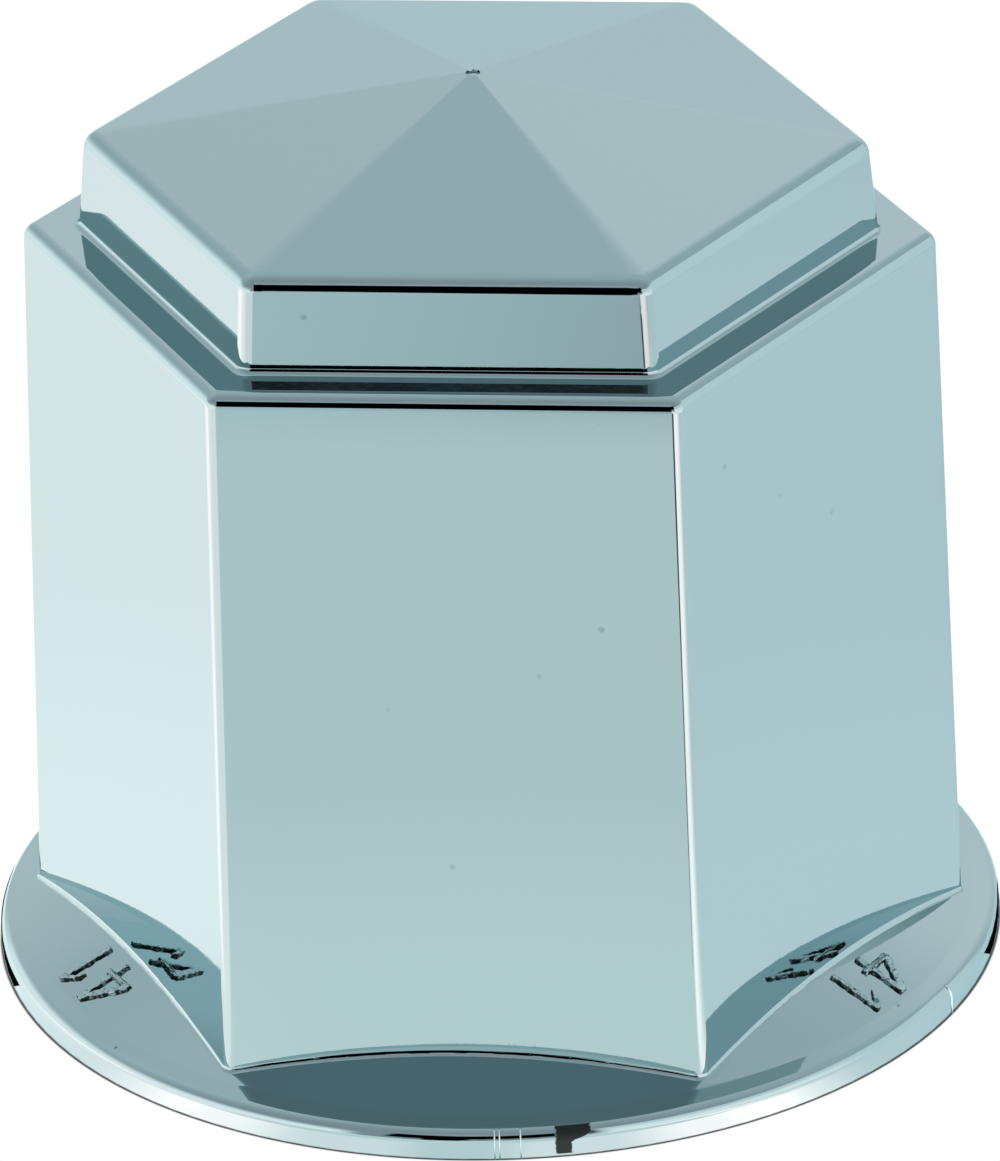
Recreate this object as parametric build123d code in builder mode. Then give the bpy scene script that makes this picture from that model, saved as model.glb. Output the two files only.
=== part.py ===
"""Wheel nut cover cap: a moulded hexagonal shell with a round flange and a stepped, roofed crown.

Millimetres. The origin is on the cap's axis, in the plane that the flange's rim stands on. +Z runs up
the axis to the crown. Two corners of the hexagon lie on the X axis, so one flat faces -Y.
"""

import os
from math import cos, radians, tan

from build123d import *

# The nut that the cap is pushed over
nut_across_flats = 41.0
nut_clearance = 1.2  # between nut and wall at the mouth, both sides together
rib_pinch = 0.1  # how much narrower the ribs are than the nut, both sides together

# Shell
wall = 1.5
body_draft = 1.15  # degrees on each flat
shoulder_height = 42.7
body_edge_radius = 0.75
shoulder_edge_radius = 0.8
cavity_edge_radius = 0.5

# Crown: the smaller block above the shoulder, with a low six-sided roof
shoulder_ledge = 2.64  # from the body's upper edge in to the crown's foot, on a flat
crown_height = 5.4  # from the shoulder to the eaves, where the sides would meet the roof in a sharp edge
roof_height = 3.9  # from the eaves to the point where the six slopes would meet
crown_draft = 4.6  # degrees on each flat
crown_edge_radius = 1.0
eaves_radius = 1.0

# Round dimple at the middle of the roof
dimple_diameter = 0.8
dimple_depth = 0.12
dimple_draft = 15.0  # degrees

# Flange
flange_overhang = 1.9  # past the hexagon's corners
flange_slope = 21.2  # degrees
foot_radius = 0.3  # in the corner between body and flange
lip_width = 1.4  # of the flatter band along the rim
lip_slope = 17.5  # degrees
lip_blend_radius = 3.0
rim_height = 1.55  # to where the lip would meet the rim in a sharp edge
rim_edge_radius = 0.8
rim_land = 1.2  # width of the flat ring that the cap stands on

# Grip ribs on the inner flats
rib_width = 1.2
rib_spacing = 13.0  # between the two ribs of one flat
rib_start = 4.0
rib_lead = 1.6  # height of the sloping end at the mouth
rib_top = 30.0

SIDES = 6
RIBS_PER_FLAT = 2

# Sizes that follow from the nut, the wall and the drafts
mouth_across_flats = nut_across_flats + nut_clearance
body_across_flats = mouth_across_flats + 2 * wall
body_lean = tan(radians(body_draft))
crown_lean = tan(radians(crown_draft))
flange_radius = body_across_flats / 2 / cos(radians(180 / SIDES)) + flange_overhang
flange_rise = tan(radians(flange_slope))
lip_radius = flange_radius - lip_width
lip_height = rim_height + lip_width * tan(radians(lip_slope))
eaves_height = shoulder_height + crown_height
apex_height = eaves_height + roof_height
crown_apothem = body_across_flats / 2 - shoulder_height * body_lean - shoulder_ledge
roof_rise = roof_height / (crown_apothem - crown_height * crown_lean)

# The cavity keeps the wall under the shoulder, beside the crown and under the roof
cavity_height = shoulder_height - wall
cavity_apex = apex_height - wall * (1 + roof_rise**2) ** 0.5
cavity_crown_apothem = crown_apothem + wall * crown_lean - wall / cos(radians(crown_draft))
cavity_roof_height = cavity_crown_apothem * roof_rise  # if the crown's cavity had no draft
cavity_crown_height = (cavity_apex - cavity_height - cavity_roof_height) / (1 - crown_lean * roof_rise)


def tapered_hexagon(across_flats, bottom, top, draft, edge_radius):
    """A hexagonal block that narrows upwards, with its upright edges rounded."""
    with BuildPart() as block:
        with BuildSketch(Plane.XY.offset(bottom)):
            RegularPolygon(across_flats / 2, side_count=SIDES, major_radius=False)
        extrude(amount=top - bottom, taper=draft)
        fillet(block.edges().group_by(Axis.Z)[1], radius=edge_radius)
    return block.part


def roofed_hexagon(across_flats, bottom, eaves, apex, draft, edge_radius):
    """A tapered hexagonal block with six slopes that rise from its top outline to one point."""
    with BuildPart() as block:
        add(tapered_hexagon(across_flats, bottom, eaves, draft, edge_radius))
        loft(sections=[block.faces().sort_by(Axis.Z)[-1], Vertex(0, 0, apex)], ruled=True)
    return block.part


def inner_wall(height):
    """Distance of the body cavity's flats from the axis."""
    return mouth_across_flats / 2 - height * body_lean


# Crown, with the edge between its sides and its roof rounded all the way round
with BuildPart() as crown:
    add(
        roofed_hexagon(
            2 * crown_apothem,
            shoulder_height,
            eaves_height,
            apex_height,
            crown_draft,
            crown_edge_radius,
        )
    )
    fillet(crown.edges().group_by(Axis.Z)[-2], radius=eaves_radius)

# One grip rib, on the flat that faces +Y: its crest stands upright while the wall leans in to meet it
with BuildPart() as rib:
    with BuildSketch(Plane.YZ):
        with BuildLine():
            crest = (nut_across_flats - rib_pinch) / 2
            Polyline(
                (inner_wall(rib_start) + wall / 2, rib_start),
                (crest, rib_start + rib_lead),
                (crest, rib_top),
                (inner_wall(rib_top) + wall / 2, rib_top),
                close=True,
            )
        make_face()
    extrude(amount=rib_width / 2, both=True)

with BuildPart() as nut_cover_cap:
    # Hexagonal body with a rounded shoulder
    add(tapered_hexagon(body_across_flats, 0, shoulder_height, body_draft, body_edge_radius))
    fillet(nut_cover_cap.faces().sort_by(Axis.Z)[-1].edges(), radius=shoulder_edge_radius)

    add(crown.part)

    # Flange: a low cone that flattens a little towards its rounded, upright rim
    with BuildSketch(Plane.XZ) as flange_section:
        with BuildLine():
            Polyline(
                (0, 0),
                (flange_radius, 0),
                (flange_radius, rim_height),
                (lip_radius, lip_height),
                (0, lip_height + lip_radius * flange_rise),
                close=True,
            )
        make_face()
        fillet(flange_section.vertices().group_by(Axis.X)[-2], radius=lip_blend_radius)
        fillet(flange_section.vertices().group_by(Axis.X)[-1].sort_by(Axis.Y)[-1], radius=rim_edge_radius)
    revolve(axis=Axis.Z)
    flange_cone = nut_cover_cap.faces().filter_by(GeomType.CONE).sort_by(SortBy.AREA)[-1]
    body_foot = flange_cone.edges().filter_by(GeomType.CIRCLE, reverse=True)
    fillet(body_foot, radius=foot_radius)

    # Cavity: hexagonal body, crown under the roof, and the mouth's flare under the flange
    add(
        tapered_hexagon(mouth_across_flats, 0, cavity_height, body_draft, cavity_edge_radius),
        mode=Mode.SUBTRACT,
    )
    add(
        roofed_hexagon(
            2 * cavity_crown_apothem,
            cavity_height,
            cavity_height + cavity_crown_height,
            cavity_apex,
            crown_draft,
            cavity_edge_radius,
        ),
        mode=Mode.SUBTRACT,
    )
    with BuildSketch(Plane.XZ):
        with BuildLine():
            flare_radius = flange_radius - rim_land
            Polyline((0, 0), (flare_radius, 0), (0, flare_radius * flange_rise), close=True)
        make_face()
    revolve(axis=Axis.Z, mode=Mode.SUBTRACT)

    # Dimple, cut from above the roof's point to its flat floor
    dimple_radius = dimple_diameter / 2
    dimple_rim = apex_height - dimple_radius * roof_rise
    with BuildSketch(Plane.XY.offset(dimple_rim - dimple_depth)):
        Circle(dimple_radius - dimple_depth * tan(radians(dimple_draft)))
    extrude(amount=apex_height - dimple_rim + dimple_depth, taper=-dimple_draft, mode=Mode.SUBTRACT)

    with PolarLocations(0, SIDES):
        with GridLocations(rib_spacing, 0, RIBS_PER_FLAT, 1):
            add(rib.part)

os.makedirs("parts", exist_ok=True)
nut_cover_cap.part.label = "nut_cover_cap"
export_step(nut_cover_cap.part, "parts/nut_cover_cap.step")
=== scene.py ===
"""Wheel nut cover cap in bright chrome plating, on a pale floor under soft studio light.

Metres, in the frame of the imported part: the origin is on the cap's axis in the plane of its rim, +Z up.
Sizes are written in millimetres and angles in degrees. Azimuths count from the front, -Y, to the right.
A pair of limits is written in the order in which its effect grows, so the first can be the larger one.
"""

from functools import cached_property, partial, reduce
from math import cos, degrees, pi, radians, sin, tan

import bpy
from mathutils import Matrix, Vector, noise
from mathutils.bvhtree import BVHTree


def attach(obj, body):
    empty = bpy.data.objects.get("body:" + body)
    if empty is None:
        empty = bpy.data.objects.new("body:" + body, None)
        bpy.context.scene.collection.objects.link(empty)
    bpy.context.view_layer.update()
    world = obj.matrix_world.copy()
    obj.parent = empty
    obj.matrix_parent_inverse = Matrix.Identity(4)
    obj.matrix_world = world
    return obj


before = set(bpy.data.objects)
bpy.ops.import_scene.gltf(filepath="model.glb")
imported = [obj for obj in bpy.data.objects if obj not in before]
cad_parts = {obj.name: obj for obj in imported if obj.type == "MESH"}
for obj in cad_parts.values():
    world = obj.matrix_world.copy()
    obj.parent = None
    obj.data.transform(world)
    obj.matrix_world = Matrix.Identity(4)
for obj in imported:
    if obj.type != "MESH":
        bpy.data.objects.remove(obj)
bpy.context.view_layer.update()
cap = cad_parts["nut_cover_cap"]

MM = 0.001
UP = Vector((0, 0, 1))

# Sizes of the part that the added pieces and the exact normals follow
SIDES = 6
BODY_APOTHEM = 22.6
BODY_DRAFT = 1.15
SHOULDER_HEIGHT = 42.7
SHOULDER_LEDGE = 2.64
CROWN_HEIGHT = 5.4
CROWN_DRAFT = 4.6
CROWN_EDGE_RADIUS = 1.0
ROOF_HEIGHT = 3.9
RIM_RADIUS = 28.0
RIM_HEIGHT = 1.55
RIM_EDGE_RADIUS = 0.8
LIP_WIDTH = 1.4
LIP_SLOPE = 17.5
FLANGE_SLOPE = 21.2

# Sizes that follow from them
FLAT_TURN = 360 / SIDES  # from one flat to the next
CORNER_TURN = FLAT_TURN / 2  # from the middle of a flat to a corner
CROWN_APOTHEM = BODY_APOTHEM - SHOULDER_HEIGHT * tan(radians(BODY_DRAFT)) - SHOULDER_LEDGE
EAVES_APOTHEM = CROWN_APOTHEM - CROWN_HEIGHT * tan(radians(CROWN_DRAFT))
EAVES_HEIGHT = SHOULDER_HEIGHT + CROWN_HEIGHT
LIP_RADIUS = RIM_RADIUS - LIP_WIDTH
LIP_TILT = radians(LIP_SLOPE)
RIM_EDGE_CENTRE = RIM_HEIGHT + RIM_EDGE_RADIUS * (tan(LIP_TILT) - 1 / cos(LIP_TILT))


class Graph:
    """A node tree, with short calls for the nodes that the materials use."""

    def __init__(self, tree):
        self.tree = tree
        tree.nodes.clear()

    def node(self, kind, inputs=None, **settings):
        made = self.tree.nodes.new(kind)
        for name, value in settings.items():
            setattr(made, name, value)
        for name, value in (inputs or {}).items():
            self.feed(made.inputs[name], value)
        return made

    def feed(self, socket, value):
        """Link a socket to another one, or set it to a number, a vector or a colour."""
        if isinstance(value, bpy.types.NodeSocket):
            self.tree.links.new(value, socket)
        elif socket.type == "RGBA":
            socket.default_value = (*value, 1.0)
        else:
            socket.default_value = value

    def math(self, operation, *values):
        return self.node("ShaderNodeMath", dict(enumerate(values)), operation=operation).outputs[0]

    def product(self, *factors):
        return reduce(partial(self.math, "MULTIPLY"), factors)

    def total(self, *terms):
        return reduce(partial(self.math, "ADD"), terms)

    def vector(self, operation, *values):
        made = self.node("ShaderNodeVectorMath", dict(enumerate(values)), operation=operation)
        return made.outputs["Value" if operation in ("DOT_PRODUCT", "DISTANCE", "LENGTH") else "Vector"]

    def scale(self, vector, factor):
        made = self.node("ShaderNodeVectorMath", {0: vector, "Scale": factor}, operation="SCALE")
        return made.outputs["Vector"]

    def parts(self, vector):
        return self.node("ShaderNodeSeparateXYZ", {"Vector": vector}).outputs

    def azimuth(self, parts):
        forward = self.math("MULTIPLY", parts["Y"], -1.0)
        return self.math("DEGREES", self.math("ARCTAN2", parts["X"], forward))

    def ramp(self, value, limits, levels=(0.0, 1.0)):
        """A smooth step from one level to the other while the value goes from one limit to the other."""
        names = ("From Min", "From Max", "To Min", "To Max")
        inputs = {"Value": value, **dict(zip(names, (*limits, *levels)))}
        return self.node("ShaderNodeMapRange", inputs, interpolation_type="SMOOTHSTEP").outputs["Result"]

    def between(self, value, rise, fall, level=1.0):
        """The level between a smooth rise and a smooth fall, and nothing outside them."""
        return self.product(self.ramp(value, rise, (0.0, level)), self.ramp(value, fall))

    def inside(self, value, limits, edge):
        """One between two limits with soft edges, and nothing outside them."""
        start, end = limits
        return self.between(value, (start - edge, start + edge), (end + edge, end - edge))

    def mix(self, factor, first, second):
        made = self.node("ShaderNodeMix", data_type="RGBA")
        for name, value in (("Factor_Float", factor), ("A_Color", first), ("B_Color", second)):
            self.feed(next(s for s in made.inputs if s.identifier == name), value)
        return next(s for s in made.outputs if s.identifier == "Result_Color")

    def glow(self, base, factor, colour):
        """The base with this much of the colour's light added."""
        return self.vector("ADD", base, self.scale(colour, factor))

    def noise(self, point, scale, detail):
        made = self.node("ShaderNodeTexNoise", {"Vector": point, "Scale": scale, "Detail": detail})
        return made.outputs["Fac"]


class Place:
    """Where a surface point lies, in millimetres and in degrees around the cap's axis."""

    def __init__(self, graph, position):
        self.graph = graph
        self.point = graph.scale(position, 1 / MM)

    @cached_property
    def level(self):
        """The point's distance from the axis, as a vector."""
        return self.graph.vector("MULTIPLY", self.point, (1, 1, 0))

    @cached_property
    def reach(self):
        return self.graph.vector("LENGTH", self.level)

    @cached_property
    def parts(self):
        return self.graph.parts(self.point)

    @cached_property
    def height(self):
        return self.parts["Z"]

    @cached_property
    def azimuth(self):
        return self.graph.azimuth(self.parts)


def new_material(name):
    """A material and the graph of its nodes."""
    material = bpy.data.materials.new(name)
    material.use_nodes = True
    return material, Graph(material.node_tree)


def compass(azimuth, elevation=0.0):
    """The direction at this azimuth and elevation."""
    level = cos(radians(elevation))
    return Vector((sin(radians(azimuth)) * level, -cos(radians(azimuth)) * level, sin(radians(elevation))))


# Camera: where it stands around the cap, in the photograph's frame
CAMERA_AZIMUTH = 5.584
CAMERA_ELEVATION = 26.346
CAMERA_ROLL = 1.830
CAMERA_DISTANCE = 678.37
CAMERA_TARGET_RIGHT = 0.592
CAMERA_TARGET_HEIGHT = 21.096
SENSOR_WIDTH = 36.0
LENS = 440.81
VIEW_LIMIT = 20000.0  # how far the camera sees


def make_camera():
    back = compass(CAMERA_AZIMUTH, CAMERA_ELEVATION)
    right = compass(CAMERA_AZIMUTH + 90)
    up = back.cross(right)
    target = right * CAMERA_TARGET_RIGHT + UP * CAMERA_TARGET_HEIGHT
    data = bpy.data.cameras.new("camera")
    data.sensor_fit = "HORIZONTAL"
    data.sensor_width = SENSOR_WIDTH
    data.lens = LENS
    data.clip_end = VIEW_LIMIT * MM
    camera = bpy.data.objects.new("camera", data)
    roll = radians(CAMERA_ROLL)
    axes = (right * cos(roll) - up * sin(roll), right * sin(roll) + up * cos(roll), back)
    turn = Matrix(axes).transposed().to_4x4()
    camera.matrix_world = Matrix.Translation((target + back * CAMERA_DISTANCE) * MM) @ turn
    bpy.context.scene.collection.objects.link(camera)
    bpy.context.scene.camera = camera


# Light from the room, by the +Y part of a direction: dim in front, brighter overhead, brightest behind
FRONT_LIGHT = (0.44, 0.515, 0.54)
OVERHEAD_LIGHT = (0.63, 0.76, 0.76)
OVERHEAD_LIMITS = (-0.65, 0.35)
BACK_LIGHT = (1.11, 1.10, 1.095)
BACK_LIMITS = (0.6, 1.0)

# Soft panels in the room as (azimuth, elevation, sharpness, brightness)
ROOM_PANELS = ((165, 36, 25.0, 0.15), (-130, 55, 14.0, 0.11), (-5, 38, 80.0, 0.18))
PANEL_COLOUR = (1.0, 1.0, 1.0)

# Dark places as (azimuths, elevations): an upright one left of the camera, and a broad one around it
DARK_PLACES = (((-13, -2.5), (-8, 33)), ((-21, 26), (11, 36)))
DARK_SIDE_EDGE = 1.0
DARK_LEVEL_EDGE = 2.5


def make_world():
    world = bpy.data.worlds.new("studio")
    world.use_nodes = True
    bpy.context.scene.world = world
    graph = Graph(world.node_tree)
    direction = graph.node("ShaderNodeTexCoord").outputs["Generated"]
    parts = graph.parts(direction)
    light = graph.mix(graph.ramp(parts["Y"], OVERHEAD_LIMITS), FRONT_LIGHT, OVERHEAD_LIGHT)
    light = graph.mix(graph.ramp(parts["Y"], BACK_LIMITS), light, BACK_LIGHT)
    for azimuth, elevation, sharpness, brightness in ROOM_PANELS:
        facing = graph.vector("DOT_PRODUCT", direction, compass(azimuth, elevation))
        lobe = graph.math("EXPONENT", graph.math("MULTIPLY_ADD", facing, sharpness, -sharpness))
        light = graph.glow(light, graph.product(lobe, brightness), PANEL_COLOUR)
    azimuth = graph.azimuth(parts)
    elevation = graph.math("DEGREES", graph.math("ARCSINE", parts["Z"]))
    strength = 1.0
    for azimuths, elevations in DARK_PLACES:
        sideways = graph.inside(azimuth, azimuths, DARK_SIDE_EDGE)
        dark = graph.product(sideways, graph.inside(elevation, elevations, DARK_LEVEL_EDGE))
        strength = graph.product(strength, graph.math("SUBTRACT", 1.0, dark))
    background = graph.node("ShaderNodeBackground", {"Color": light, "Strength": strength})
    graph.node("ShaderNodeOutputWorld", {"Surface": background.outputs[0]})


# Floor: plain white, with a thin shadow where the rim stands on it
FLOOR_SIZE = 6000.0
FLOOR_COLOUR = (1.0, 1.0, 1.0)
CONTACT_SHADOW_WIDTH = 0.14
CONTACT_SHADOW_LEVELS = (0.1, 1.0)


def add_stage(name, points, faces, material, in_picture=True):
    mesh = bpy.data.meshes.new(name)
    mesh.from_pydata([point * MM for point in points], [], faces)
    mesh.materials.append(material)
    thing = bpy.data.objects.new(name, mesh)
    thing.visible_camera = in_picture
    bpy.context.scene.collection.objects.link(thing)


def add_square(name, height, material, in_picture=True):
    """A level square as large as the floor."""
    half = FLOOR_SIZE / 2
    corners = ((-half, -half), (half, -half), (half, half), (-half, half))
    points = [Vector((x, y, height)) for x, y in corners]
    add_stage(name, points, [(0, 1, 2, 3)], material, in_picture)


def glowing_material(name, light_at):
    """A surface with no shading of its own, whose light at each place comes from the given function."""
    material, graph = new_material(name)
    place = Place(graph, graph.node("ShaderNodeNewGeometry").outputs["Position"])
    shadow = graph.ramp(place.reach, (RIM_RADIUS, RIM_RADIUS + CONTACT_SHADOW_WIDTH), CONTACT_SHADOW_LEVELS)
    emission = graph.node("ShaderNodeEmission", {"Color": light_at(graph, place), "Strength": shadow})
    graph.node("ShaderNodeOutputMaterial", {"Surface": emission.outputs[0]})
    return material


def make_floor():
    add_square("floor", 0.0, glowing_material("pale_floor", lambda graph, place: FLOOR_COLOUR))


# What the chrome mirrors of the floor: a sheet of light just above it, out of the picture
SHEET_HEIGHT = 0.02
SHEET_GLOW = 1.01
SHEET_FRONT_COLOUR = (1.0, 1.125, 1.09)

# Near the cap it is brighter, by less on the right
NEAR_REACH = (70, 38)
NEAR_GAIN = 0.11
NEAR_RIGHT_LOSS = 0.5

# On the right it has a cooler colour, and a level that changes with the distance
RIGHT_AZIMUTHS = ((45, 75), (180, 135))
RIGHT_REACH = (130, 170)
RIGHT_GAINS = (0.03, -0.03)
RIGHT_COLOUR = (1.0, 1.13, 1.14)

# Far in front it is dimmer, and most so on the right
FAR_START = (-112, -126)
FAR_ACROSS = (-30, 5)
FAR_GAINS = (-0.19, -0.37)
FAR_COLOUR = (1.0, 1.21, 1.20)

# Warm light is added on the left, where it grows with the azimuth. To the left of a line that leaves the left
# front corner it has at least the line's gain
WARM_COLOUR = (1.0, 0.63, 0.58)
LEFT_AZIMUTHS = (-12, -78)
LEFT_GAIN = 0.92
LEFT_ENDS = ((-180, -122), (60, 0))
LEFT_LINE = -14
LEFT_LINE_EDGE = (0, -4)
LEFT_LINE_GAIN = 0.58

# A warm streak lies between two lines that leave the same corner
STREAK_LINES = (-121, -88)
STREAK_EDGES = ((0, 3), (6, 0))
STREAK_REACH = (33, 40)
STREAK_GAIN = 0.5

# A warm spot lies in front, to the right of a line that leaves the right front corner
SPOT_LINE = 9
SPOT_LINE_EDGE = (1, 6)
SPOT_AZIMUTHS = ((0, 8), (56, 30))
SPOT_GAIN = 1.2

# A warm ring lies along the front of the rim, with a peak on each side and a little less of it on the left
RING_AZIMUTHS = ((2, 10), (52, 40))
RING_GAIN = 0.42
PEAK_AZIMUTHS = ((17, 28), (44, 33))
PEAK_GAIN = 0.75
RING_REACH = (30.6, 30.1)
RING_MIDDLE = (-5, 5)
RING_SIDES = (0.86, 1.0)

# Farthest in front, below the upright dark place in the room, it is dark
DARK_FLOOR_AZIMUTHS = ((-14, -12), (-1.5, -3.5))
DARK_FLOOR_START = (-380, -650)

# Where the upright edges beside the front flat would meet the floor
RIGHT_FRONT_CORNER = Vector((BODY_APOTHEM * tan(radians(CORNER_TURN)), -BODY_APOTHEM, 0))
LEFT_FRONT_CORNER = RIGHT_FRONT_CORNER * Vector((-1, 1, 1))


def right_of_line(graph, place, corner, direction):
    """How far a place lies to the right of the line that leaves a corner in this direction."""
    across = compass(direction + 90)
    return graph.math("SUBTRACT", graph.vector("DOT_PRODUCT", place.point, across), corner.dot(across))


def even_light(graph, place):
    """The sheet's main light, near the cap and far from it."""
    right = graph.between(place.azimuth, *RIGHT_AZIMUTHS)
    near = graph.ramp(place.reach, NEAR_REACH, (0.0, NEAR_GAIN))
    near = graph.product(near, graph.math("MULTIPLY_ADD", right, -NEAR_RIGHT_LOSS, 1.0))
    beside = graph.product(right, graph.ramp(place.reach, RIGHT_REACH, RIGHT_GAINS))
    far = graph.ramp(place.parts["Y"], FAR_START)
    beyond = graph.product(far, graph.ramp(place.parts["X"], FAR_ACROSS, FAR_GAINS))
    colour = graph.mix(right, SHEET_FRONT_COLOUR, RIGHT_COLOUR)
    colour = graph.mix(far, colour, FAR_COLOUR)
    return graph.scale(colour, graph.total(SHEET_GLOW, near, beside, beyond))


def warm_left(graph, place):
    """How much warm light the left has, with its streak."""
    gain = graph.ramp(place.azimuth, LEFT_AZIMUTHS, (0.0, LEFT_GAIN))
    past_line = right_of_line(graph, place, LEFT_FRONT_CORNER, LEFT_LINE)
    gain = graph.math("MAXIMUM", gain, graph.ramp(past_line, LEFT_LINE_EDGE, (0.0, LEFT_LINE_GAIN)))
    streak = graph.ramp(place.reach, STREAK_REACH, (0.0, STREAK_GAIN))
    for line, edge in zip(STREAK_LINES, STREAK_EDGES):
        past_line = right_of_line(graph, place, LEFT_FRONT_CORNER, line)
        streak = graph.product(streak, graph.ramp(past_line, edge))
    return graph.product(graph.total(gain, streak), graph.between(place.azimuth, *LEFT_ENDS))


def warm_spot(graph, place):
    past_line = right_of_line(graph, place, RIGHT_FRONT_CORNER, SPOT_LINE)
    beside = graph.ramp(past_line, SPOT_LINE_EDGE, (0.0, SPOT_GAIN))
    return graph.product(beside, graph.between(place.azimuth, *SPOT_AZIMUTHS))


def warm_ring(graph, place):
    aside = graph.math("ABSOLUTE", place.azimuth)
    ring = graph.between(aside, *RING_AZIMUTHS, RING_GAIN)
    peaks = graph.between(aside, *PEAK_AZIMUTHS, PEAK_GAIN)
    sides = graph.ramp(place.azimuth, RING_MIDDLE, RING_SIDES)
    return graph.product(graph.total(ring, peaks), graph.ramp(place.reach, RING_REACH), sides)


def sheet_light(graph, place):
    warm = graph.total(warm_left(graph, place), warm_spot(graph, place), warm_ring(graph, place))
    light = graph.glow(even_light(graph, place), warm, WARM_COLOUR)
    dark = graph.between(place.azimuth, *DARK_FLOOR_AZIMUTHS)
    dark = graph.product(dark, graph.ramp(place.parts["Y"], DARK_FLOOR_START))
    return graph.scale(light, graph.math("SUBTRACT", 1.0, dark))


def make_light_sheet():
    add_square("light_sheet", SHEET_HEIGHT, glowing_material("light_sheet", sheet_light), in_picture=False)


# Painted shadows: dark cards on the floor, out of the picture too. Two lie along the rim as the cap's own
# shadow, as rows of (azimuth, width). One runs out from the right front corner as a shadow on the floor in
# front, as rows of (distance, start azimuth, end azimuth) from there
CARD_GAP = 0.05  # from the rim and from the floor
RIM_SHADOW_CARDS = (
    ((-71, 0.6), (-78, 0.7), (-84, 1.0), (-90, 1.6), (-96, 2.4), (-102, 2.85)),
    ((82.5, 0.7), (88, 0.9), (94, 1.6), (101.5, 2.2)),
)
RIM_SHADOW_STEPS = 4  # from one row to the next
RIM_SHADOW_COLOUR = (0.005, 0.005, 0.005)
FRONT_SHADOW_CARD = ((18, 6.5, 8), (60, 4, 9), (82, 2.5, 11), (135, 5, 13), (165, 6, 13))
FRONT_SHADOW_COLOUR = (0.12, 0.14, 0.14)


def add_shadow_cards(name, strips, light):
    """Cards of painted shadow that lie on the floor, each as a strip of rows with one point at each side."""
    points, faces = [], []
    for strip in strips:
        for row in range(len(points), len(points) + 2 * len(strip) - 2, 2):
            faces.append((row, row + 1, row + 3, row + 2))
        points += [point + UP * CARD_GAP for row in strip for point in row]
    add_stage(name, points, faces, glowing_material(name, lambda graph, place: light), in_picture=False)


def rim_shadow_card(rows):
    """The strip along the rim through these rows, with evenly spaced ones between them."""
    filled = [rows[0]]
    for first, last in zip(rows, rows[1:]):
        for step in range(1, RIM_SHADOW_STEPS + 1):
            filled.append([a + (b - a) * step / RIM_SHADOW_STEPS for a, b in zip(first, last)])
    inner = RIM_RADIUS + CARD_GAP
    return [(compass(azimuth) * inner, compass(azimuth) * (inner + width)) for azimuth, width in filled]


def make_shadow_cards():
    # Painted shadows that the chrome mirrors: the cap's own along the rim, and one on the floor in front
    add_shadow_cards("rim_shadow_cards", [rim_shadow_card(rows) for rows in RIM_SHADOW_CARDS], RIM_SHADOW_COLOUR)
    front_shadow_card = [
        [RIGHT_FRONT_CORNER + compass(azimuth) * distance for azimuth in azimuths]
        for distance, *azimuths in FRONT_SHADOW_CARD
    ]
    add_shadow_cards("front_shadow_card", [front_shadow_card], FRONT_SHADOW_COLOUR)


# Two bright cards that curve round the sides, out of the picture too. Their ends and tops fade, as (azimuths
# of the front end, azimuths of the back end, heights of the top)
SIDE_CARD_RADIUS = 200.0
SIDE_CARD_HEIGHT = 160.0
SIDE_CARD_STEPS = 40
LEFT_CARD = ((-23, -30), (-146, -126), (138, 47))
LEFT_CARD_LIGHT = (1.63, 1.66, 1.60)
RIGHT_CARD = ((22, 28), (133, 126), (150, 135))
RIGHT_CARD_LIGHT = (1.05, 1.20, 1.20)

# The left card is lower towards its front end, as (azimuths, drop)
LEFT_CARD_DROP = ((-125, -70), 28.0)

# The right card is brighter low down and towards its front end, as (azimuths, heights, added light)
RIGHT_CARD_GLOW = ((93, 70), (110, 45), (0.5, 0.37, 0.30))


def side_card_material(name, fades, light, drop, glow):
    """A glowing surface that is clear where the card has faded out."""
    material, graph = new_material(name)
    place = Place(graph, graph.node("ShaderNodeNewGeometry").outputs["Position"])
    height = place.height
    if drop:
        azimuths, fall = drop
        height = graph.total(height, graph.ramp(place.azimuth, azimuths, (0.0, fall)))
    if glow:
        azimuths, heights, added = glow
        near = graph.product(graph.ramp(place.azimuth, azimuths), graph.ramp(height, heights))
        light = graph.glow(light, near, added)
    faded = zip((place.azimuth, place.azimuth, height), fades)
    strength = graph.product(*(graph.ramp(value, limits) for value, limits in faded))
    emission = graph.node("ShaderNodeEmission", {"Color": light})
    clear = graph.node("ShaderNodeBsdfTransparent")
    surface = graph.node("ShaderNodeMixShader", {0: strength, 1: clear.outputs[0], 2: emission.outputs[0]})
    graph.node("ShaderNodeOutputMaterial", {"Surface": surface.outputs[0]})
    return material


def make_side_card(name, fades, light, drop=None, glow=None):
    start, end = fades[0][0], fades[1][0]
    points, faces = [], []
    for step in range(SIDE_CARD_STEPS + 1):
        foot = compass(start + (end - start) * step / SIDE_CARD_STEPS) * SIDE_CARD_RADIUS
        points += [foot, foot + UP * SIDE_CARD_HEIGHT]
    for row in range(0, 2 * SIDE_CARD_STEPS, 2):
        faces.append((row, row + 2, row + 3, row + 1))
    add_stage(name, points, faces, side_card_material(name, fades, light, drop, glow), in_picture=False)


# Chrome: reflectance of the cap and of the rim's beads, and how far it is held back near grazing angles
CHROME_COLOUR = (0.385, 0.475, 0.505)
# The beads get a lighter copy of the chrome's reflectance, which paints a highlight along them
BEAD_HIGHLIGHT_COLOUR = (0.78, 0.86, 0.88)
CHROME_EDGE_TINT = (0.63, 0.76, 0.78)

# Where the surface is black, rough and not metal: the specks, the rim's patch and the marks on the figures
BLACKENED_COLOUR = (0.004, 0.004, 0.004)
BLACKENED_ROUGHNESS = 0.5  # added to the plating's

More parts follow.
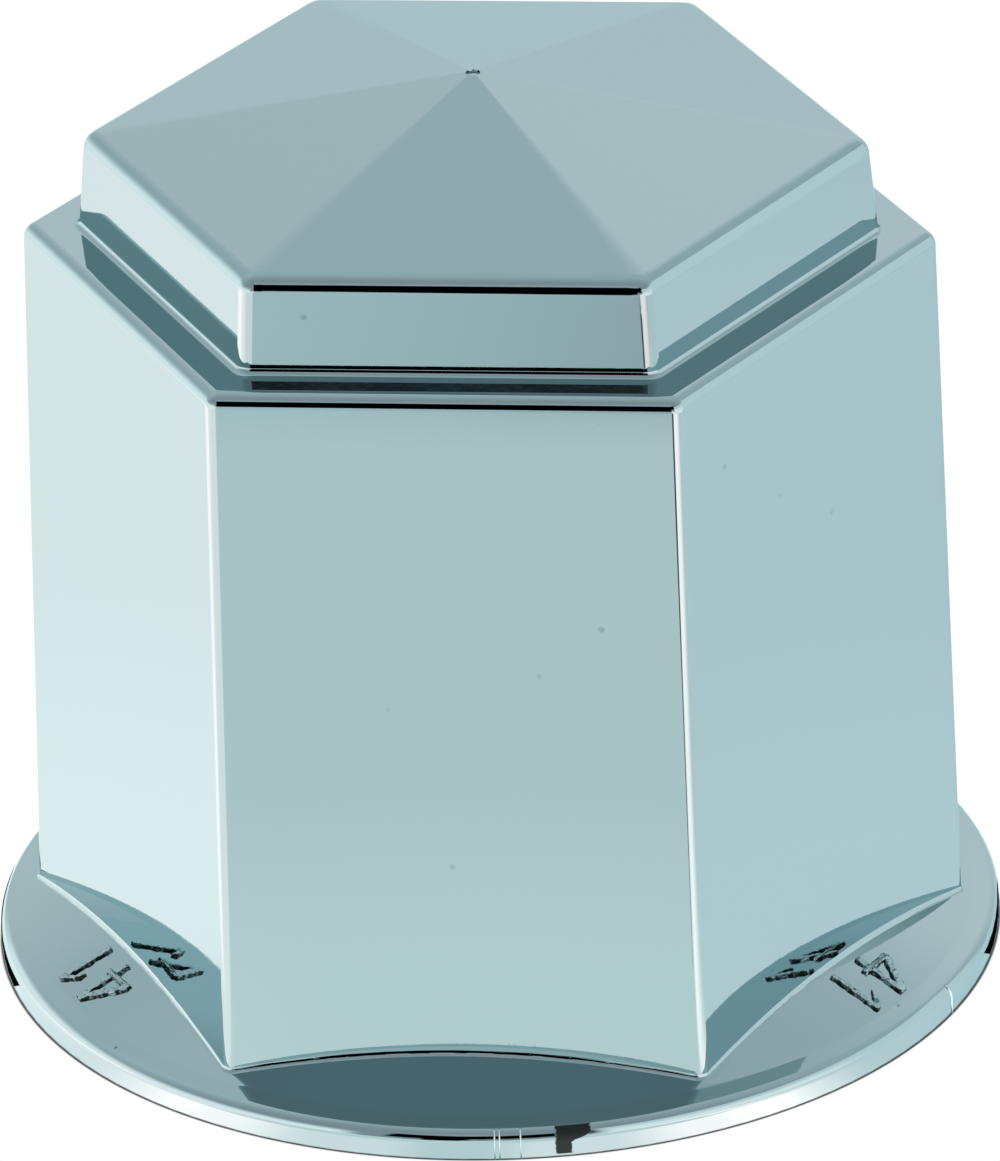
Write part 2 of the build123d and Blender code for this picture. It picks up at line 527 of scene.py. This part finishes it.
# A slow wave in the moulded surface with a fine ripple on it, and a faint haze in the gloss. Grains are
# (scale per millimetre, detail)
WAVE_HEIGHT = 0.004
WAVE_GRAIN = (0.2, 1)
RIPPLE_HEIGHT = 0.0007
RIPPLE_GRAIN = (2.0, 1)
HAZE_GRAIN = (0.9, 3)
HAZE_LIMITS = (0.35, 0.7)
ROUGHNESS = (0.02, 0.045)

# Faint specks in the plating as (face's azimuth, across it, distance from the axis, height, radius, depth)
SPECKS = (
    (0, -7.6, 18.84, 46.0, 0.26, 0.22),
    (60, -8.6, 21.85, 37.2, 0.24, 0.20),
    (60, -3.5, 21.93, 33.4, 0.20, 0.10),
    (60, 1.4, 21.99, 30.4, 0.24, 0.12),
    (0, 8.1, 22.01, 29.2, 0.26, 0.24),
    (0, 4.7, 22.07, 26.4, 0.20, 0.12),
    (0, -3.5, 22.11, 24.3, 0.20, 0.10),
    (0, -0.3, 22.30, 14.9, 0.20, 0.16),
    (60, 0.0, 26.72, 1.95, 0.14, 0.45),
    (-60, 6.8, 26.47, 1.75, 0.14, 0.60),
)
SPECK_CORE = 0.3  # share of the radius within which a speck is deepest

# Black, rough patch with a ragged outline on the rim beside the gate mark. Its upper end runs on to the
# right.
# Its edge, run and raggedness are angles
PATCH_AZIMUTHS = (11.0, 12.8)
PATCH_EDGE = 0.1
PATCH_RUN = 2.2
PATCH_RAGGEDNESS = 0.7
PATCH_GRAIN = (4.0, 2)
PATCH_RUN_HEIGHTS = (0.8, 1.35)
PATCH_REACH = (27.5, 27.6)
PATCH_FOOT = (0.14, 0.20)

# Figures: black in patches on their sides, by how far these face up, and dotted with black all over
FIGURE_SIDES = (0.86, 0.6)
FIGURE_PATCHES = (0.40, 0.52)
FIGURE_PATCH_GRAIN = (2.2, 3)
FIGURE_DOTS = (0.60, 0.66)
FIGURE_DOT_DEPTH = 0.85
FIGURE_DOT_GRAIN = (6.0, 2)


def black_rim_patch(graph, place):
    start, end = PATCH_AZIMUTHS
    ragged = graph.math("SUBTRACT", graph.noise(place.point, *PATCH_GRAIN), 0.5)
    azimuth = graph.math("MULTIPLY_ADD", ragged, PATCH_RAGGEDNESS, place.azimuth)
    run = graph.ramp(place.height, PATCH_RUN_HEIGHTS, (0.0, PATCH_RUN))
    return graph.product(
        graph.ramp(place.reach, PATCH_REACH),
        graph.ramp(place.height, PATCH_FOOT),
        graph.ramp(azimuth, (start - PATCH_EDGE, start + PATCH_EDGE)),
        graph.ramp(graph.math("SUBTRACT", azimuth, run), (end + PATCH_EDGE, end - PATCH_EDGE)),
    )


def cap_blackening(graph, place):
    """How black the cap is: wholly on the rim patch, and a little on each speck."""
    blackened = black_rim_patch(graph, place)
    for azimuth, across, out, height, radius, depth in SPECKS:
        middle = compass(azimuth) * out + compass(azimuth + 90) * across + UP * height
        away = graph.vector("DISTANCE", place.point, middle)
        speck = graph.ramp(away, (radius, SPECK_CORE * radius), (0.0, depth))
        blackened = graph.math("MAXIMUM", blackened, speck)
    return blackened


def figure_blackening(graph, place):
    """How black the figures are."""
    upward = graph.parts(graph.node("ShaderNodeNewGeometry").outputs["Normal"])["Z"]
    patches = graph.ramp(graph.noise(place.point, *FIGURE_PATCH_GRAIN), FIGURE_PATCHES)
    dots = graph.ramp(graph.noise(place.point, *FIGURE_DOT_GRAIN), FIGURE_DOTS, (0.0, FIGURE_DOT_DEPTH))
    return graph.math("MAXIMUM", graph.product(graph.ramp(upward, FIGURE_SIDES), patches), dots)


# Limits of the faces whose exact normals are used
LIP_BLEND = 0.1  # half the width over which the flange's slope turns into the lip's
LIP_MARGIN = 0.15  # how far inside the lip they start
RIM_FOOT = 0.2
EAVES_MARGIN = 0.1755  # how far above the eaves they start
DIMPLE_REACH = 0.45
ROOF_LEAST_RISE = 0.5  # upward part of the normal of any face of the roof
LEAST_RUN = 0.001  # outwards from the centre of the rim's rounding


def tilted(graph, outward, tilt):
    """The direction that leans up from a level one by this many radians."""
    rise = graph.node("ShaderNodeCombineXYZ", {"Z": graph.math("SINE", tilt)})
    return graph.vector("ADD", graph.scale(outward, graph.math("COSINE", tilt)), rise.outputs[0])


def rim_normal(graph, place):
    """Where the turned rim and lip are, and their exact normal."""
    rise = graph.math("SUBTRACT", place.height, RIM_EDGE_CENTRE)
    run = graph.math("SUBTRACT", place.reach, RIM_RADIUS - RIM_EDGE_RADIUS)
    tilt = graph.math("ARCTAN2", rise, graph.math("MAXIMUM", run, LEAST_RUN))
    tilt = graph.math("MINIMUM", graph.math("MAXIMUM", tilt, 0.0), pi / 2 - LIP_TILT)
    blend_limits = (LIP_RADIUS + LIP_BLEND, LIP_RADIUS - LIP_BLEND)
    blend = graph.ramp(place.reach, blend_limits, (0.0, radians(LIP_SLOPE - FLANGE_SLOPE)))
    normal = tilted(graph, graph.vector("NORMALIZE", place.level), graph.total(tilt, blend))
    where = graph.product(
        graph.math("GREATER_THAN", place.reach, LIP_RADIUS - LIP_MARGIN),
        graph.math("GREATER_THAN", place.height, RIM_FOOT),
    )
    return where, normal


def roof_normal(graph, place):
    """Where the roof is, and its exact normal: six slopes, and ridges that fan out to the corners."""
    flat = graph.math("ROUND", graph.math("DIVIDE", place.azimuth, FLAT_TURN))
    middle = graph.product(flat, FLAT_TURN)
    aside = graph.math("SUBTRACT", place.azimuth, middle)
    corner_reach = (EAVES_APOTHEM - CROWN_EDGE_RADIUS) / cos(radians(CORNER_TURN))
    ridge = degrees(CROWN_EDGE_RADIUS / 2 / corner_reach)
    share = graph.math("MULTIPLY_ADD", graph.math("ABSOLUTE", aside), 1 / ridge, 1 - CORNER_TURN / ridge)
    turn = graph.product(graph.math("MAXIMUM", share, 0.0), CORNER_TURN)
    facing = graph.math("MULTIPLY_ADD", turn, graph.math("SIGN", aside), middle)
    facing = graph.math("RADIANS", facing)
    forward = graph.math("COSINE", facing)
    level = {"X": graph.math("SINE", facing), "Y": graph.product(forward, -1.0)}
    outward = graph.node("ShaderNodeCombineXYZ", level).outputs[0]
    corner = graph.math("COSINE", graph.math("RADIANS", graph.math("SUBTRACT", CORNER_TURN, turn)))
    span = graph.math("MULTIPLY_ADD", corner, corner_reach, CROWN_EDGE_RADIUS)
    normal = tilted(graph, outward, graph.math("ARCTAN2", span, ROOF_HEIGHT))
    upward = graph.parts(graph.node("ShaderNodeNewGeometry").outputs["True Normal"])["Z"]
    where = graph.product(
        graph.math("GREATER_THAN", place.height, EAVES_HEIGHT + EAVES_MARGIN),
        graph.math("GREATER_THAN", upward, ROOF_LEAST_RISE),
        graph.math("GREATER_THAN", place.reach, DIMPLE_REACH),
    )
    return where, normal


def chrome_material(name, colour=CHROME_COLOUR, blackening=None, exact_normals=False):
    """Bright plating, which turns black, rough and not metal where the given function says so."""
    material, graph = new_material(name)
    place = Place(graph, graph.node("ShaderNodeTexCoord").outputs["Object"])
    normal = graph.node("ShaderNodeNewGeometry").outputs["Normal"]
    if exact_normals:
        for where, exact in (rim_normal(graph, place), roof_normal(graph, place)):
            normal = graph.mix(where, normal, exact)
    wave = graph.noise(place.point, *WAVE_GRAIN)
    ripple = graph.noise(place.point, *RIPPLE_GRAIN)
    height = graph.math("MULTIPLY_ADD", ripple, RIPPLE_HEIGHT / WAVE_HEIGHT, wave)
    relief = {"Strength": 1.0, "Distance": WAVE_HEIGHT * MM, "Height": height, "Normal": normal}
    roughness = graph.ramp(graph.noise(place.point, *HAZE_GRAIN), HAZE_LIMITS, ROUGHNESS)
    finish = {
        "Base Color": colour,
        "Metallic": 1.0,
        "Roughness": roughness,
        "Specular Tint": CHROME_EDGE_TINT,
        "Normal": graph.node("ShaderNodeBump", relief).outputs[0],
    }
    if blackening:
        blackened = blackening(graph, place)
        finish["Base Color"] = graph.mix(blackened, colour, BLACKENED_COLOUR)
        finish["Metallic"] = graph.math("SUBTRACT", 1.0, blackened)
        finish["Roughness"] = graph.math("MULTIPLY_ADD", blackened, BLACKENED_ROUGHNESS, roughness)
    surface = graph.node("ShaderNodeBsdfPrincipled", finish)
    graph.node("ShaderNodeOutputMaterial", {"Surface": surface.outputs[0]})
    return material


def add_piece(name, mesh, material):
    """A chrome piece of the cap, which is one rigid body."""
    mesh.materials.clear()
    mesh.materials.append(material)
    piece = bpy.data.objects.new(name, mesh)
    bpy.context.scene.collection.objects.link(piece)
    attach(piece, "root")
    return piece


FLAT_WEIGHT = 50  # neutral, so that the areas of the faces alone decide


def even_flats(piece):
    """Keep flat faces flat in the shading and let the roundings carry all of the turn."""
    weighted = piece.modifiers.new("even_flats", "WEIGHTED_NORMAL")
    weighted.mode = "FACE_AREA"
    weighted.weight = FLAT_WEIGHT


# Rounding in the corner between the crown and the shoulder
CROWN_FOOT_RADIUS = 0.42
CROWN_FOOT_STEPS = 12
CORNER_STEPS = 10
SINK = 0.1  # how deep the hidden backs of added pieces lie in the part


def rounded_hexagon(apothem, corner_radius):
    """Points around a hexagon with rounded corners, each with the direction that it faces."""
    corner_reach = (apothem - corner_radius) / cos(radians(CORNER_TURN))
    for side in range(SIDES):
        corner = compass(FLAT_TURN * side + CORNER_TURN) * corner_reach
        for step in range(CORNER_STEPS + 1):
            outward = compass(FLAT_TURN * side + FLAT_TURN * step / CORNER_STEPS)
            yield corner + outward * corner_radius, outward


def crown_foot_section():
    """The closed section as (distance from the crown's side, height over the shoulder, surface's tilt)."""
    draft = radians(CROWN_DRAFT)
    axis = CROWN_FOOT_RADIUS * (1 - sin(draft)) / cos(draft)
    section = []
    for step in range(CROWN_FOOT_STEPS + 1):
        tilt = draft + (pi / 2 - draft) * step / CROWN_FOOT_STEPS
        section.append((axis - CROWN_FOOT_RADIUS * cos(tilt), CROWN_FOOT_RADIUS * (1 - sin(tilt)), tilt))
    top_offset, top_height, _ = section[0]
    section.append((axis, -SINK, pi / 2))
    section.append((-SINK, -SINK, draft))
    section.append((top_offset - SINK, top_height, draft))
    return section


def make_crown_foot(material):
    section = crown_foot_section()
    points, normals, faces = [], [], []
    for offset, height, tilt in section:
        for point, outward in rounded_hexagon(CROWN_APOTHEM + offset, CROWN_EDGE_RADIUS + offset):
            points.append((point + UP * (SHOULDER_HEIGHT + height)) * MM)
            normals.append(outward * cos(tilt) + UP * sin(tilt))
    around = len(points) // len(section)
    for ring in range(len(section)):
        here, there = ring * around, (ring + 1) % len(section) * around
        for index in range(around):
            after = (index + 1) % around
            faces.append((here + index, there + index, there + after, here + after))
    mesh = bpy.data.meshes.new("crown_foot")
    mesh.from_pydata(points, [], faces, shade_flat=False)
    mesh.normals_split_custom_set_from_vertices(normals)
    add_piece("crown_foot", mesh, material)


# Raised size figures on the flange, below two of the flats, with their tops outwards
FIGURE_AZIMUTHS = {"left": -60, "right": 60}
FIGURE_FOOT_RADIUS = 23.2
FIGURE_HEIGHT = 3.1
FIGURE_STROKE = 0.34
FIGURE_RAISE = 0.16
FIGURE_BEVEL = 0.06
FIGURE_BEVEL_STEPS = 2
FIGURE_STEP = 0.12  # between the points of an outline
FIGURE_WOBBLE = 0.07
FIGURE_WOBBLE_SCALE = 4.0
FIGURE_SEED = 1
FIGURE_DROP_HEIGHT = 5.28  # from where the points are let down on the flange

# Where the stem of each figure stands, to the right of the flat's middle
FIGURE_STEMS = {"four": -1.2, "one": 1.2}

# The one's flag: its start at the stem's top, its reach, and how far below the top its corners are
FLAG_START = 0.08
FLAG_REACH = 0.92
FLAG_TIP_TOP = 0.78
FLAG_TIP_FOOT = 1.2
FLAG_ROOT = 0.52

# The four's bar and slope: the bar's height and ends, and the slope's upper end and foot
BAR_HEIGHT = 0.74
BAR_RIGHT = 0.62
BAR_LEFT = 1.78
SLOPE_TOP = 0.3
SLOPE_FOOT = 0.06  # above the bar

# The four's hole: its left corner, and how far below the top its upper one is
HOLE_LEFT = 1.3
HOLE_TOP = 0.62


def outlines_of_one():
    """The figure's outline around its stem, as a loop of (across, up)."""
    half, top = FIGURE_STROKE / 2, FIGURE_HEIGHT
    stem = ((half, 0), (half, top))
    flag = (
        (-FLAG_START, top),
        (-FLAG_REACH, top - FLAG_TIP_TOP),
        (-FLAG_REACH, top - FLAG_TIP_FOOT),
        (-half, top - FLAG_ROOT),
    )
    return [stem + flag + ((-half, 0),)]


def outlines_of_four():
    """The figure's outline and that of its hole around its stem, as loops of (across, up)."""
    half, top = FIGURE_STROKE / 2, FIGURE_HEIGHT
    bar, bar_top = BAR_HEIGHT, BAR_HEIGHT + FIGURE_STROKE
    stem = ((-half, 0), (half, 0), (half, bar))
    bar_end = ((BAR_RIGHT, bar), (BAR_RIGHT, bar_top), (half, bar_top), (half, top))
    slope = ((-SLOPE_TOP, top), (-BAR_LEFT, bar_top + SLOPE_FOOT), (-BAR_LEFT, bar), (-half, bar))
    hole = ((-half, bar_top), (-HOLE_LEFT, bar_top), (-half, top - HOLE_TOP))
    return [stem + bar_end + slope, hole]


FIGURE_OUTLINES = {"four": outlines_of_four(), "one": outlines_of_one()}


def closely_spaced(outline):
    """The same outline with a point every short step."""
    points = []
    for start, end in zip(outline, outline[1:] + outline[:1]):
        start, end = Vector(start), Vector(end)
        steps = max(1, round((end - start).length / FIGURE_STEP))
        points += [tuple(start.lerp(end, step / steps)) for step in range(steps)]
    return points


def flat_figure(name, figure):
    """The raised figure on a level plane, in millimetres."""
    curve = bpy.data.curves.new(name, "CURVE")
    curve.dimensions = "2D"
    curve.fill_mode = "BOTH"
    curve.extrude = FIGURE_RAISE - FIGURE_BEVEL
    curve.bevel_depth = FIGURE_BEVEL
    curve.bevel_resolution = FIGURE_BEVEL_STEPS
    curve.offset = -FIGURE_BEVEL
    for outline in map(closely_spaced, FIGURE_OUTLINES[figure]):
        spline = curve.splines.new("POLY")
        spline.points.add(len(outline) - 1)
        spline.use_cyclic_u = True
        for point, (across, up) in zip(spline.points, outline):
            point.co = (across + FIGURE_STEMS[figure], up, 0, 1)
    mesh = bpy.data.meshes.new_from_object(bpy.data.objects.new(name, curve))
    mesh.name = name
    return mesh


def make_figures(material):
    noise.seed_set(FIGURE_SEED)
    surface = BVHTree.FromObject(cap, bpy.context.evaluated_depsgraph_get())
    for side, azimuth in FIGURE_AZIMUTHS.items():
        for figure, stem in FIGURE_STEMS.items():
            name = f"size_figure_{figure}_{side}"
            mesh = flat_figure(name, figure)
            own_wobble = Vector((azimuth, stem, 0))
            for vertex in mesh.vertices:
                wobble = noise.noise_vector(vertex.co * FIGURE_WOBBLE_SCALE + own_wobble) * FIGURE_WOBBLE
                across, up, raised = vertex.co + wobble
                radius = FIGURE_FOOT_RADIUS + up
                over = compass(azimuth - degrees(across / radius)) * radius + UP * FIGURE_DROP_HEIGHT
                place, normal, _, _ = surface.ray_cast(over * MM, -UP)
                vertex.co = place + normal * raised * MM
            mesh.shade_smooth()
            even_flats(add_piece(name, mesh, material))


# Witness marks of the mould, as upright beads on the rim: azimuth and half width
WITNESS_MARKS = ((4.2, 0.05), (4.75, 0.05), (7.1, 0.05), (67.8, 0.07))
BEAD_RAISE = 0.05
BEAD_STEPS = 8
BEAD_TOP_TILT = 70
BEAD_END_TAPER = 0.2


def rim_section():
    """The rim's section as (radius, height, tilt of the surface), from the floor up to the lip."""
    section = [(RIM_RADIUS, 0.0, 0.0)]
    for step in range(BEAD_STEPS + 1):
        tilt = radians(BEAD_TOP_TILT) * step / BEAD_STEPS
        radius = RIM_RADIUS - RIM_EDGE_RADIUS * (1 - cos(tilt))
        section.append((radius, RIM_EDGE_CENTRE + RIM_EDGE_RADIUS * sin(tilt), tilt))
    return section


def make_witness_marks(material):
    section = rim_section()
    around = BEAD_STEPS + 1
    points, faces = [], []
    for azimuth, half_width in WITNESS_MARKS:
        outward, along = compass(azimuth), compass(azimuth + 90)
        start = len(points)
        for ring, (radius, height, tilt) in enumerate(section):
            middle = outward * radius + UP * height
            normal = outward * cos(tilt) + UP * sin(tilt)
            taper = BEAD_END_TAPER if ring == len(section) - 1 else 1.0
            for step in range(around):
                turn = pi * step / BEAD_STEPS
                rise = (BEAD_RAISE + SINK) * sin(turn) * taper - SINK
                points.append((middle + along * half_width * cos(turn) * taper + normal * rise) * MM)
        for ring in range(len(section) - 1):
            here, there = start + ring * around, start + (ring + 1) * around
            for step in range(around):
                after = (step + 1) % around
                faces.append((here + step, here + after, there + after, there + step))
        faces.append(tuple(range(start + around - 1, start - 1, -1)))
        faces.append(tuple(range(len(points) - around, len(points))))
    mesh = bpy.data.meshes.new("rim_witness_marks")
    mesh.from_pydata(points, [], faces, shade_flat=False)
    add_piece("rim_witness_marks", mesh, material)


make_camera()
make_world()
make_floor()
make_light_sheet()
make_shadow_cards()
make_side_card("left_card", LEFT_CARD, LEFT_CARD_LIGHT, drop=LEFT_CARD_DROP)
make_side_card("right_card", RIGHT_CARD, RIGHT_CARD_LIGHT, glow=RIGHT_CARD_GLOW)
bpy.context.scene.view_settings.view_transform = "Standard"

chrome = chrome_material("chrome_plate", blackening=cap_blackening, exact_normals=True)
figure_chrome = chrome_material("chrome_figures", blackening=figure_blackening)
# Lighter chrome on the beads: a painted highlight
bead_highlight_chrome = chrome_material("chrome_beads_highlight", BEAD_HIGHLIGHT_COLOUR)
cap.data.materials.clear()
cap.data.materials.append(chrome)
make_figures(figure_chrome)
make_crown_foot(chrome)
make_witness_marks(bead_highlight_chrome)
even_flats(cap)
